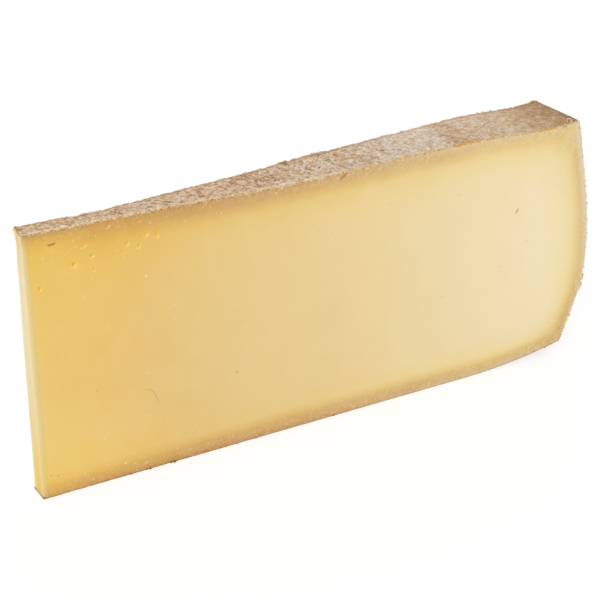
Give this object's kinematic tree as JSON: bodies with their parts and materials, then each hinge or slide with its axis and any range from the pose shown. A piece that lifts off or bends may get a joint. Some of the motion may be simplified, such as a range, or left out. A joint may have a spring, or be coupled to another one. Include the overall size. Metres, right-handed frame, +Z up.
{
  "type": "comte cheese wedge",
  "caption": "Slim upright wedge of firm cheese cut from a wheel, with a trimmed tip, rough rind on top, heel and foot, and small eyes in one cut face.",
  "frame": {"origin": "bottom centre of the bounding box, on the surface that the wedge stands on", "axes": "+X from the trimmed tip to the heel, along the bisector of the two cuts; -Y is the side of the cut face with the eyes; +Z up"},
  "size_m": [0.2346, 0.0266, 0.101],
  "materials": {
    "paste": "smooth knife-cut firm cheese, golden at the tip and ivory towards the heel, browner under the rind",
    "rind": "dry rough washed rind, tan brown with pale powdery patches"
  },
  "bodies": {
    "root": {"cheese_wedge": "paste"}
  },
  "joints": []
}
